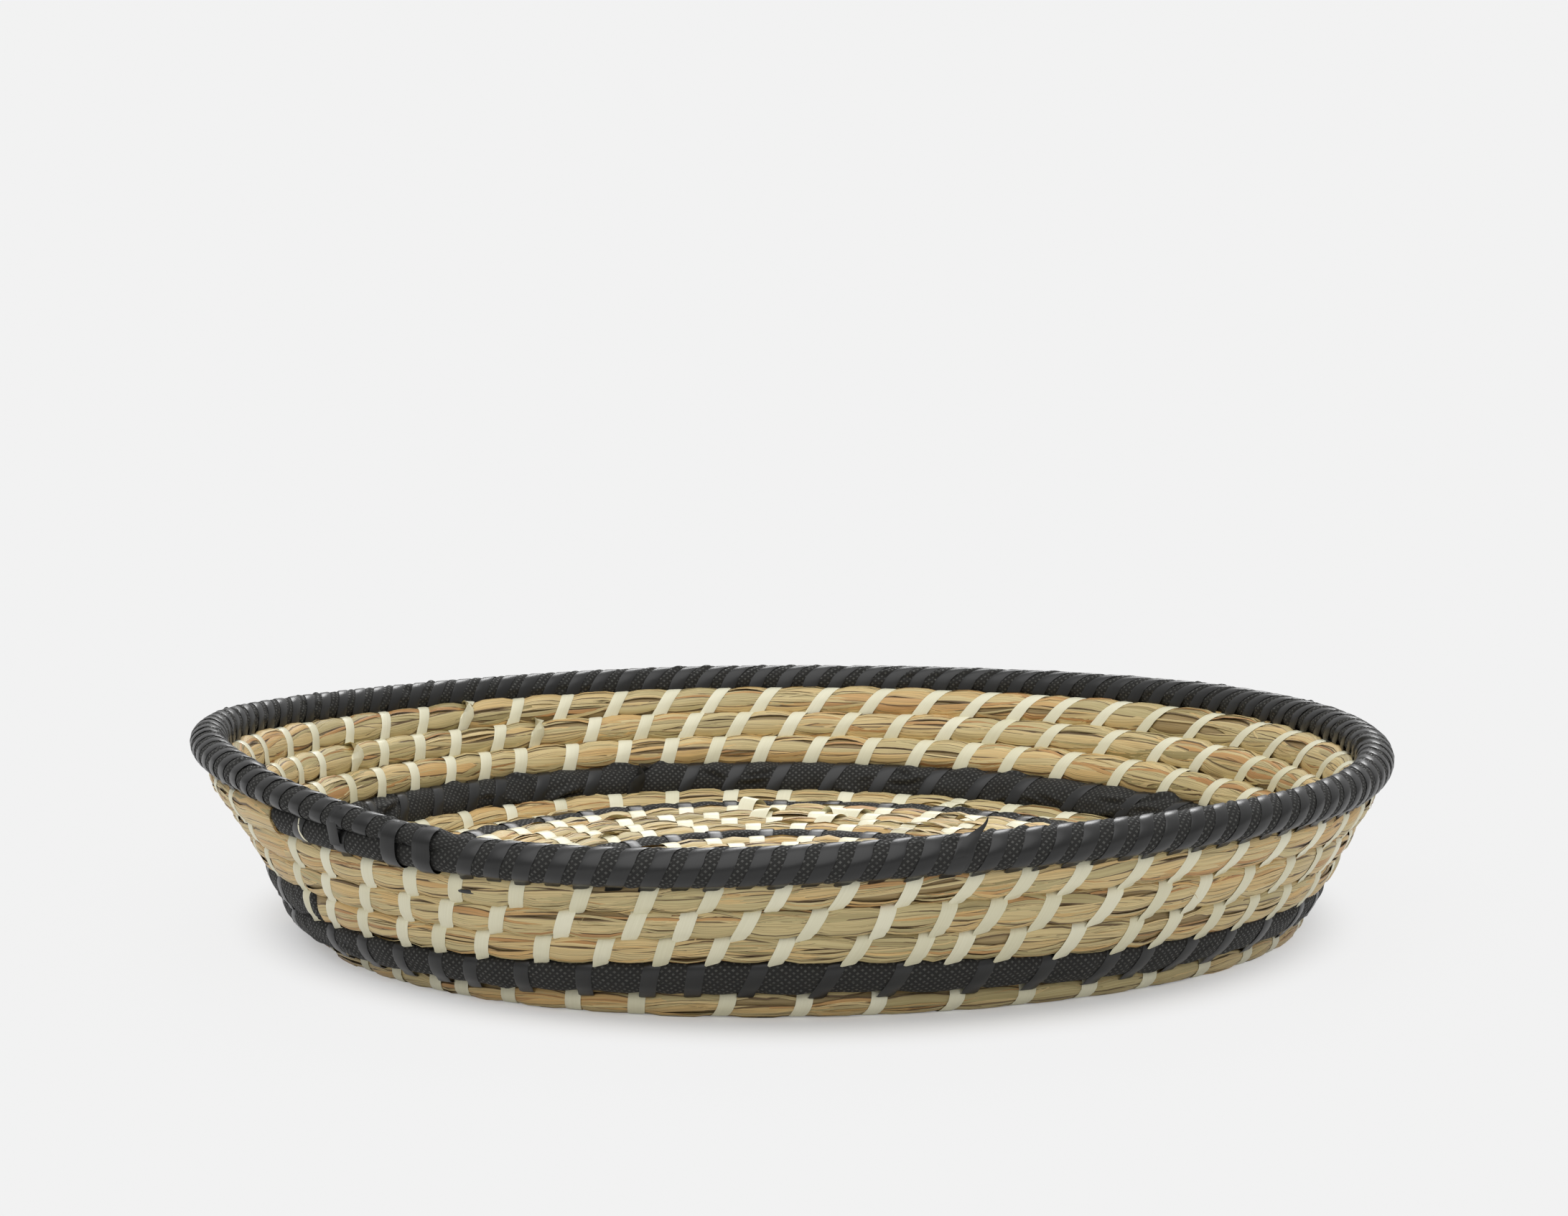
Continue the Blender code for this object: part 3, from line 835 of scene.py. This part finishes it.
def sleeve(name, first, last, step, nodes, folds, wavy=0.0, knob=0.0):
    """Black cloth wrapped round a stretch, creased between its straps, with a wavy lower edge and a knob
    where it ends."""
    t, phi = sheet_grid(first, last, step, 48)
    bulge, press = swell(t, phi)
    run = t * circumference(t)
    inside = np.where(np.cos(phi) < 0, 1.7, 0.6)
    crease = np.zeros(t.shape)
    for k in range(6):
        pitch, phase = rng.uniform(11, 30), rng.uniform(0, 9)
        line = (k + 0.5) * math.pi / 3 + 0.5 * np.sin(run / pitch + phase)
        line = line + 0.3 * np.sin(run / 7.3 + 2.1 * phase)
        apart = (phi - line + math.pi) % (2 * math.pi) - math.pi
        strength = np.clip(0.4 + np.sin(run / (pitch * 0.7) + 3 * phase), 0, 1)
        crease = crease + strength * (np.exp(-((apart + 0.2) / 0.2) ** 2) - np.exp(-(apart / 0.13) ** 2))
    lump = np.sin(run / 4.1 + 2.0 * phi + 3 * np.sin(run / 31)) * np.sin(run / 9.7 - phi)
    lift = bulge + 0.15 + folds * (crease + 0.5 * lump) * inside * (1 - 0.75 * press)
    edge_waves = np.sin(run / 8.3) + 0.7 * np.sin(run / 21.7 + 1)
    lift = lift + wavy * np.exp(-((phi - CLOTH_EDGE) / EDGE_WIDTH) ** 2) * edge_waves
    near_end = np.exp(-((t - last + KNOB_BACK) / KNOB_LENGTH) ** 2)
    lift = lift + knob * near_end * np.clip(0.35 + np.sin(phi), 0, 1)
    end = np.clip(np.minimum(t - first, last - t) * circumference(t) / 3.0, 0, 1)
    wound_sheet(name, skin(t, phi, lift - 2.2 * (1 - end) ** 2), CLOTH, nodes)


def degrees(low, high):
    return math.radians(low), math.radians(high)


# Parts of the way round the bundle. In the base its outer side lies underneath.
OUTSIDE, INSIDE = degrees(-76, 76), degrees(104, 256)
UNDER, TOP = degrees(-60, 60), degrees(102, 258)


def rounded(line):
    """The line with its corners cut off three times."""
    for smoothing in range(3):
        cut = np.empty((2 * len(line), line.shape[1]))
        cut[0], cut[-1] = line[0], line[-1]
        cut[1:-1:2] = 0.75 * line[:-1] + 0.25 * line[1:]
        cut[2:-1:2] = 0.25 * line[:-1] + 0.75 * line[1:]
        line = cut
    return line


def strip_of(turns, angles, heights, widths, twists=0):
    """The places of a strip, from what each has: its turn, degrees round the bundle, height above its skin,
    and the strip's width and twist in degrees."""
    return np.stack(np.broadcast_arrays(turns, angles, heights, widths, twists), -1)


def ribbons(name, laid_out, finish, blank=STITCH, thickness=THICKNESS):
    """Loose, doubled or folded strips, each through its own places."""
    along, across, up = blank[:3]
    laid, tones, uvs = [], [], []
    for places in laid_out:
        given = np.array(places, dtype=float)
        spots = skin(given[:, 0], np.radians(given[:, 1]), given[:, 2])
        above = skin(given[:, 0], np.radians(given[:, 1]), given[:, 2] + 1)
        line = rounded(np.concatenate([spots, above - spots, given[:, 3:]], axis=1))
        dist = distances(line[:, :3])
        ways = np.gradient(line[:, :3], dist + 1e-6 * np.arange(len(dist)), axis=0)
        part = np.concatenate([line, ways], axis=1)
        part = np.stack([np.interp(along * dist[-1], dist, column) for column in part.T], -1)
        spot, off, wide, twist, way = np.split(part, (3, 6, 7, 8), axis=1)
        wide, twist = wide[:, 0], np.radians(twist)
        way = way / np.linalg.norm(way, axis=1)[:, None]
        side = np.cross(way, off)
        side /= np.linalg.norm(side, axis=1)[:, None]
        off = np.cross(side, way)
        side, off = side * np.cos(twist) + off * np.sin(twist), off * np.cos(twist) - side * np.sin(twist)
        laid.append(spot + side * (across * wide / 2)[:, None] + off * (up * thickness / 2)[:, None])
        tones.append(rng.uniform(0.35, 0.9))
        uvs.append(finish_spots(along * dist[-1], across * wide / 2))
    strips(name, blank, laid, tones, uvs, finish, 40)


# The base: a natural part and a black ring, twice. The bundle's very start is bare.
for part, first, bare, ring, last in (("centre", START_TURN, 0.3, "inner", INNER_RING_ROW),
                                      ("middle", INNER_RING_ROW + 1, 0, "outer", OUTER_RING_ROW)):
    core("base_%s_core" % part, first, last, ["base_%s_coil" % part])
    dressed("base_" + part, first + bare, last, [TOP], wild=1.7)
    leaves("base_%s_under_leaves" % part, first + bare, last, [UNDER], 1.2, (3, 6), NARROW)
    sleeve(ring + "_ring_cloth", last, last + 1, 1.6, [ring + "_ring_core", ring + "_ring_sleeve"], folds=0.4)
core("base_edge_core", -1, BAND_START + 0.005, ["base_edge_coil"])
dressed("base_edge", -1, 0.012, [TOP, UNDER], wild=1.3)
dressed("basket_edge", -0.012, BAND_START, [degrees(104, 286), OUTSIDE])
sleeve("band_cloth", BAND_START, WALL_START, 1.25, ["band_core", "band_sleeve"], folds=0.85, wavy=0.7)
core("wall_core", WALL_START, RIM_START + 0.002, ["wall_coil"])
for number, (first, last) in enumerate(((WALL_START, 3.012), (2.988, 4.012), (3.988, RIM_START + 0.001))):
    dressed("wall_%d" % (number + 1), first, last, [INSIDE, OUTSIDE])
sleeve("rim_cloth", RIM_START, RIM_END, 1.0, ["rim_core", "rim_sleeve"], folds=0.35, knob=1.7)

# Stitches whose strap is twisted, and between which shares of its length
TWISTED = [(4.7806, (0.6, 0.88)), (3.8408, (0.6, 0.9)), (3.7583, (0.58, 0.86))]
stitched("wall_stitches", STITCHES[4] + STITCHES[3] + STITCHES[2], 6.0, CREAM,
         nodes=["wall_strap"], twists=TWISTED)
stitched("edge_stitches", STITCHES[0] + STITCHES["edge_in"], 6.0, CREAM, above=0.1)
stitched("band_stitches", STITCHES[1], 5.9, BLACK_STRAP, above=0.1, cut=0.2,
         twists=[(1.7239, (0.6, 0.88))], uneven=0)
stitched("base_stitches", STITCHES["middle"] + STITCHES["centre"], 6.6, CREAM, above=0.3,
         uneven=0)
stitched("ring_stitches", STITCHES["outer_ring"] + STITCHES["inner_ring"], 5.8, BLACK_STRAP,
         above=0.25, uneven=0)
stitched("rim_stitches", STITCHES["rim"], 6.2, BLACK_STRAP, nodes=["rim_strap"],
         above=0.15, cut=1.2, uneven=0)

# Where the real straps were started, ended or doubled
ribbons("rim_strap_ends", [
    # the end that stands up from the front of the rim
    strip_of((5.214, 5.215, 5.2162, 5.2176, 5.2196, 5.2216, 5.2219), (-25, 10, 48, 76, 90, 95, 97),
             (0.5, 0.6, 0.7, 1.6, 4.4, 7.4, 10.2), (6.6, 6.6, 6.4, 5.2, 3.2, 1.6, 0.3),
             (0, 0, 0, 0, 10, 20, 20)),
    # the end that hangs over the rim's first row
    strip_of((6.0448, 6.0446, 6.0444, 5.0444, 5.0443), (95, 50, 5, 40, 12), (0.5, 0.6, 0.7, 1.9, 1.3), 5.6),
    # straps round both rows near the rim's end
    strip_of((6.0655, 6.065, 6.0647, 6.0644, 5.0641, 5.0638, 5.0635, 5.0632),
             (125, 80, 40, 5, 15, -20, -48, -70), (0.6, 1.2, 1.9, 2.6, 2, 1.5, 1.2, -0.4),
             (6.8,) * 7 + (6.4,)),
    strip_of((6.0752, 6.075, 6.0748, 6.0745, 5.0742, 5.0739, 5.0736, 5.0734),
             (125, 80, 40, 0, 20, -15, -48, -70), (1.8, 2.9, 3.3, 3.3, 1.9, 1.5, 1.2, -0.4),
             (6.6,) * 7 + (6.4,)),
    strip_of((6.0764, 6.0762, 6.076, 6.0757, 5.0754, 5.075, 5.0747, 5.0745),
             (115, 75, 40, 0, 20, -15, -46, -66), (2.2, 3.4, 3.8, 3.8, 2.4, 2, 1.5, 0),
             (6,) * 7 + (5.6,), (0, 0, 4, 6, 6, 4, 0, 0)),
    # a scrap of strap in the top row of straw
    strip_of((4.0815, 4.083, 4.0855, 4.0876), (4, 6, 7, 5), (0.35, 0.62, 0.6, 0.35), (1, 1.7, 1.9, 1.1)),
], BLACK_STRAP)

FOLD, BROAD_FOLD = (6, 6.2, 6.4, 6.2, 6), (6, 6.4, 6.6, 6.2, 6)  # widths along a folded strap
ribbons("cream_strap_ends", [
    strip_of((5.0279, 5.0284, 5.0289, 5.0291), (55, 25, -10, -42), (0.5, 0.75, 0.75, 0.4),
             (0.7, 1.1, 1.1, 0.7)),
    # loops and doubled straps on the base
    strip_of((-2.312, -2.31, -2.307, -2.304, -2.303), (112, 145, 175, 200, 232), (0.3, 1.8, 4.2, 2.4, 0.8),
             FOLD, (0, 0, 12, 0, 0)),
    strip_of((-3.362, -3.359, -3.356, -3.354, -3.353), (110, 145, 178, 215, 240),
             (0.4, 1.6, 2.6, 1.4, 0.5), BROAD_FOLD, (0, -10, 0, 8, 0)),
    strip_of((-3.34, -3.344, -3.348, -3.35, -3.352), (112, 150, 185, 215, 240), (0.5, 1.9, 2.9, 1.6, 0.5),
             FOLD, (0, 12, 8, 0, 0)),
    strip_of((-4.352, -4.349, -4.345, -4.342, -4.34), (112, 150, 182, 215, 240), (0.4, 1.7, 2.4, 1.2, 0.4),
             FOLD, (0, -8, 0, 0, 0)),
    strip_of((-3.318, -3.315, -3.311, -3.308, -3.306), (112, 150, 182, 215, 240),
             (0.4, 1.4, 2.2, 1.3, 0.4), FOLD, (0, 0, -12, 0, 0)),
    strip_of((-0.396, -0.3935, -0.39, -0.387, -0.385), (112, 150, 182, 215, 238),
             (0.4, 1.8, 2.9, 1.6, 0.5), BROAD_FOLD, (0, 10, 0, -8, 0)),
    strip_of((-0.384, -0.386, -0.389, -0.392, -0.394), (112, 150, 182, 215, 238),
             (0.4, 1.5, 2.2, 1.2, 0.5), BROAD_FOLD, (0, -10, 0, 8, 0)),
], CREAM)

# Leaves that peep out under the rim: where, and half their length in turns
UNDER_RIM = ((4.521, 0.014), (4.509, 0.006), (4.533, 0.006), (4.649, 0.008), (4.7515, 0.01), (4.7, 0.006))
peeping = [strip_of((turn - half, turn - half * 0.6, turn, turn + half * 0.5, turn + half),
                    (124, 104, 94, 100, 124), (0.5, 1.4, 2, 1.6, 0.5), (2, 3.4, 3.8, 3.4, 2),
                    (0, 10, 20, 10, 0)) for turn, half in UNDER_RIM]
# and leaf ends that stand up from the base
for tuft in range(46):
    row = rng.choice((-1, -3, -4, -5, -6, -1, -4))
    turn = row + rng.uniform(0.02, 0.96)
    here = rng.uniform(125, 205)
    size = rng.uniform(5, 11) / circumference(turn)
    high = rng.uniform(1.2, 3.0)
    wide = rng.uniform(2.0, 4.6)
    peeping.append([
        (turn - size, here, 0.2, wide * 0.7, 0),
        (turn, here + rng.normal(0, 8), high, wide, rng.normal(0, 20)),
        (turn + size, here + rng.normal(0, 14), high * rng.uniform(0.3, 0.9), wide * 0.8, rng.normal(0, 30)),
        (turn + size * 1.5, here + rng.normal(0, 18), 0.4, 0.4, 0)])
ribbons("peeping_leaves", peeping, STRAW, blank=NARROW, thickness=0.2)

# Fine fibres that stand off the bundle
fibres = []
for strand in range(12):
    turn = rng.uniform(WALL_START, RIM_START)
    here = rng.uniform(-60, 60) + 180 * (rng.uniform() < 0.4)
    size = rng.uniform(3, 9) / circumference(turn)
    high = rng.uniform(0.8, 2.2)
    fibres.append([(turn, here, 0.3, 0.3, 0), (turn + size * 0.4, here + rng.normal(0, 10), high, 0.26, 0),
                   (turn + size, here + rng.normal(0, 25), high * rng.uniform(0.4, 1.3), 0.1, 0)])
ribbons("loose_fibres", fibres, STRAW, blank=NARROW, thickness=0.12)

# Floor, light and camera
deselect()
bpy.ops.mesh.primitive_plane_add(size=40)
floor = bpy.context.object
floor.name = "studio_floor"
PAPER_WHITE = srgb(242)[0]
paper = Material("pale_paper", 0.95)
paper.colour((*grey(0.834), 1))
paper.shader.inputs["Specular IOR Level"].default_value = 0
rays = paper.node("ShaderNodeLightPath").outputs
mirrored = paper.maths("MAXIMUM", rays["Is Glossy Ray"], rays["Is Transmission Ray"])
seen = paper.maths("MAXIMUM", rays["Is Camera Ray"], mirrored)
glow = paper.node("ShaderNodeEmission", Color=(*grey(PAPER_WHITE), 1), Strength=1.0)
# the paper's white takes over a little way out from the basket, so that its shadow stays close to it
away = paper.node("ShaderNodeVectorMath", {"operation": "LENGTH"})
paper.put(away.inputs[0], paper.stretched(paper.node("ShaderNodeTexCoord").outputs["Object"], (1.1, 1, 1)))
share = paper.node("ShaderNodeMapRange", {"interpolation_type": "SMOOTHSTEP"}, Value=away.outputs["Value"],
                   From_Min=0.187, From_Max=0.24, To_Min=0.26, To_Max=0.95)
blend = paper.node("ShaderNodeMixShader", Fac=paper.maths("MULTIPLY", seen, share.outputs[0]))
paper.tree.links.new(paper.shader.outputs[0], blend.inputs[1])
paper.tree.links.new(glow.outputs[0], blend.inputs[2])
paper.tree.links.new(blend.outputs[0], paper.tree.nodes["Material Output"].inputs["Surface"])
floor.data.materials.append(paper.material)
floor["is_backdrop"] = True

# The studio is brightest overhead and dim towards the horizon. What is mirrored is partly paper white.
HORIZON, OVERHEAD, MIRRORED_SHARE = 0.06, 0.8, 0.42
world = bpy.data.worlds.new("studio")
bpy.context.scene.world = world
studio = Nodes(world)
height = studio.node("ShaderNodeSeparateXYZ", Vector=studio.node("ShaderNodeTexCoord").outputs["Generated"])
level = studio.node("ShaderNodeMapRange", Value=height.outputs["Z"], To_Min=HORIZON, To_Max=OVERHEAD)
rays = studio.node("ShaderNodeLightPath").outputs
white = studio.maths("MULTIPLY_ADD", rays["Is Glossy Ray"], MIRRORED_SHARE, rays["Is Camera Ray"])
white.node.use_clamp = True
chosen = studio.node("ShaderNodeMix", Factor=white, A=level.outputs[0], B=PAPER_WHITE)
sky = studio.tree.nodes["Background"].inputs
studio.put(sky["Color"], (*WHITE, 1))
studio.put(sky["Strength"], chosen.outputs["Result"])


def lamp(name, energy, direction, size):
    """A sun, from this many degrees round the basket and above level, and this many degrees wide."""
    deselect()
    bpy.ops.object.light_add(type="SUN")
    item = bpy.context.object
    item.name = name
    item.data.energy = energy
    item.data.angle = math.radians(size)
    away, height = math.radians(direction[0]), math.radians(direction[1])
    item.rotation_euler = (math.pi / 2 - height, 0, away + math.pi / 2)


lamp("overhead_front", 1.3, (262, 62), 80)
lamp("overhead_back", 0.7, (86, 36), 20)

# The camera's place, how far it looks down, and how far it is turned to the left
DISTANCE = 2250
ELEVATION, LOOK_DOWN, PAN = (math.radians(angle) for angle in (11.61, 8.65, 0.11))
deselect()
bpy.ops.object.camera_add(
    location=(0, -DISTANCE * MM * math.cos(ELEVATION), DISTANCE * MM * math.sin(ELEVATION)),
    rotation=(math.pi / 2 - LOOK_DOWN, 0, PAN))
camera = bpy.context.object
camera.data.sensor_width = 36
camera.data.lens = 135
camera.data.clip_end = 100
bpy.context.scene.camera = camera
bpy.context.scene.view_settings.view_transform = "Standard"

low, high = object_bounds()
